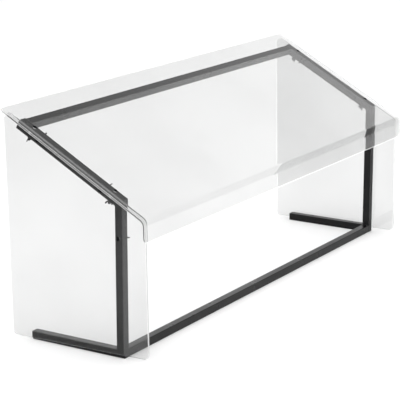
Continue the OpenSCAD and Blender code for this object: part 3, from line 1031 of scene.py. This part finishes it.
# %% Place the weld beads
inner_x = half_w - tube
shy = 1.6 * MM                      # how far a bead stops short of a tube's corner
x, y, z = np.eye(3)
beads = []
bar_s = reach("upper_crossbar", up_slope)[0]
sheet_level = reach("upper_crossbar", up_off_sheet)[1]
under_s = (tube - tube * math.sin(slope)) / math.cos(slope)
for side in SIDES.values():
    face = side * inner_x
    behind, middle_x = front_y + tube, side * (half_w - tube / 2)
    beads.append(weld_bead([face, front_y + shy, tube], [face, behind - shy, tube], z, -side * x))
    beads.append(weld_bead([face, behind, shy], [face, behind, tube - shy], y, -side * x))
    beads.append(weld_bead([middle_x - tube / 2 + shy, behind, tube],
                           [middle_x + tube / 2 - shy, behind, tube], y, z))
    bar = face * x + bar_s * up_slope
    beads.append(weld_bead(bar + (sheet_level - shy) * up_off_sheet,
                           bar + (sheet_level - tube + shy) * up_off_sheet, -up_slope, -side * x))
    under = np.array([0, behind, front_h + under_s * math.sin(slope) - tube * math.cos(slope)])
    beads.append(weld_bead(under + (middle_x - tube / 2 + shy) * x, under + (middle_x + tube / 2 - shy) * x,
                           -z, up_slope))
welds = closed_shells("weld_beads", beads, powder_coat, smooth_angle=60)
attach(welds, "frame")
print(len(beads), "weld beads")

# %% [markdown]
# The tubes are carried over from the design as they are and only get their coat: the finish goes into the
# material slots of the nodes. The beads share it, because the frame is coated after it is welded.

# %% Powder coat on the tubes
TUBES = ("foot", "upright", "arm", "crossbar")
coated_tubes = [node for name, node in nodes.items() if name.endswith(TUBES)]
for node in coated_tubes:
    node.data.materials.clear()
    node.data.materials.append(powder_coat)
print("coated:", [node.name for node in coated_tubes])

# %% [markdown]
# ## The studio
#
# The guard stands on a pale floor in a white studio. A clear sheet shows nothing but what it mirrors and
# what is behind it, so the light is planned by where the sheets look. Low down, all round, is the bright
# backdrop. The ceiling is dimmer, which keeps the sloping sheet from turning milky. To both sides of the
# camera's line the floor falls off from pale to grey, and the sheets mirror that as a soft gradient.

# %% Floor
FLOOR_HALF = 14.0
SWEEP_NEAR, SWEEP_FAR = 1.1, 2.2      # from the camera's line, where the floor starts and ends its fall-off
PALE, PALE_GREY = (0.95, 0.95, 0.95, 1), (0.5, 0.5, 0.5, 1)

floor_mesh = bpy.data.meshes.new("floor")
floor_mesh.from_pydata([(-FLOOR_HALF, -FLOOR_HALF, 0), (FLOOR_HALF, -FLOOR_HALF, 0),
                        (FLOOR_HALF, FLOOR_HALF, 0), (-FLOOR_HALF, FLOOR_HALF, 0)], [], [(0, 1, 2, 3)])
floor = bpy.data.objects.new("floor", floor_mesh)
bpy.context.scene.collection.objects.link(floor)
pale, tree, shader, place = new_material("pale_floor")
turned = tree.nodes.new("ShaderNodeMapping")
turned.inputs["Rotation"].default_value = (0, 0, -CAMERA_AZIMUTH)
tree.links.new(place, turned.inputs["Vector"])
split = tree.nodes.new("ShaderNodeSeparateXYZ")
tree.links.new(turned.outputs["Vector"], split.inputs["Vector"])
sideways = maths(tree, "ABSOLUTE", split.outputs["X"])
fallen = span(tree, sideways, SWEEP_NEAR, SWEEP_FAR, 0.0, 1.0)
tree.links.new(blend_colours(tree, fallen, PALE, PALE_GREY), shader.inputs["Base Color"])
shader.inputs["Roughness"].default_value = 0.9
shader.inputs["Specular IOR Level"].default_value = 0.0
floor_mesh.materials.append(pale)
print("floor", 2 * FLOOR_HALF, "m across")

# %% [markdown]
# The walls and the ceiling are far away and out of focus, so the world's background stands for them: its
# strength is a function of the direction, and no walls have to be built. A dark card low on the right is
# part of it. Photographers of glass put such a card where the glass mirrors it, to draw a bend that would
# vanish against white.

# %% Studio walls and ceiling
BACKDROP, DIM_CEILING = 1.35, 0.7     # radiance, where 1 is a white page
CEILING_FROM, CEILING_FULL = math.sin(math.radians(26)), math.sin(math.radians(38))
FLAG_WAY = (0.942, -0.306, 0.139)     # direction of the dark card
FLAG_EDGES = (math.cos(math.radians(29)), math.cos(math.radians(21)))
FLAG_TONE = 0.3
world = bpy.data.worlds.new("studio")
world.use_nodes = True
bpy.context.scene.world = world
tree = world.node_tree
direction = tree.nodes.new("ShaderNodeTexCoord").outputs["Generated"]
split = tree.nodes.new("ShaderNodeSeparateXYZ")
tree.links.new(direction, split.inputs["Vector"])
strength = span(tree, split.outputs["Z"], CEILING_FROM, CEILING_FULL, BACKDROP, DIM_CEILING)
background = tree.nodes["Background"]
background.inputs["Color"].default_value = (1, 1, 1, 1)
toward_flag = tree.nodes.new("ShaderNodeVectorMath")
toward_flag.operation = "DOT_PRODUCT"
tree.links.new(direction, toward_flag.inputs[0])
toward_flag.inputs[1].default_value = FLAG_WAY
inside_flag = span(tree, toward_flag.outputs["Value"], FLAG_EDGES[0], FLAG_EDGES[1], 1.0, FLAG_TONE)
strength = maths(tree, "MULTIPLY", strength, inside_flag)
tree.links.new(strength, background.inputs["Strength"])
print("backdrop", BACKDROP, "ceiling", DIM_CEILING)

# %% [markdown]
# ## The lights
#
# A wide, soft light from straight above keeps the whole floor evenly bright, and a square softbox over the
# guard adds a little under it, where the guard itself takes light away. The standard view shows the tones
# as they are lit, with no film-like curve over them.

# %% Overhead light
SKY_SOFTNESS = math.radians(60)       # how wide the overhead light looks from the floor
OVERHEAD = 0.65
OVERHEAD_TILT = math.radians(6)
BOX_WIDTH, BOX_RADIANCE = 3.0, 1.0
BOX_PLACE = (-0.2, -0.3, 3.0)
overhead = bpy.data.lights.new("overhead", "SUN")
overhead.angle = SKY_SOFTNESS
overhead.energy = OVERHEAD
lamp = bpy.data.objects.new("overhead", overhead)
bpy.context.scene.collection.objects.link(lamp)
lamp.matrix_world = Matrix.Rotation(OVERHEAD_TILT, 4, "X")

softbox = bpy.data.lights.new("softbox", "AREA")
softbox.size = BOX_WIDTH
softbox.energy = BOX_RADIANCE * math.pi * BOX_WIDTH ** 2
lamp = bpy.data.objects.new("softbox", softbox)
bpy.context.scene.collection.objects.link(lamp)
lamp.matrix_world = Matrix.Translation(BOX_PLACE)
lamp.visible_camera = False
bpy.context.scene.view_settings.view_transform = "Standard"
bpy.context.scene.view_settings.look = "None"
print("overhead", OVERHEAD, "softbox", BOX_RADIANCE)
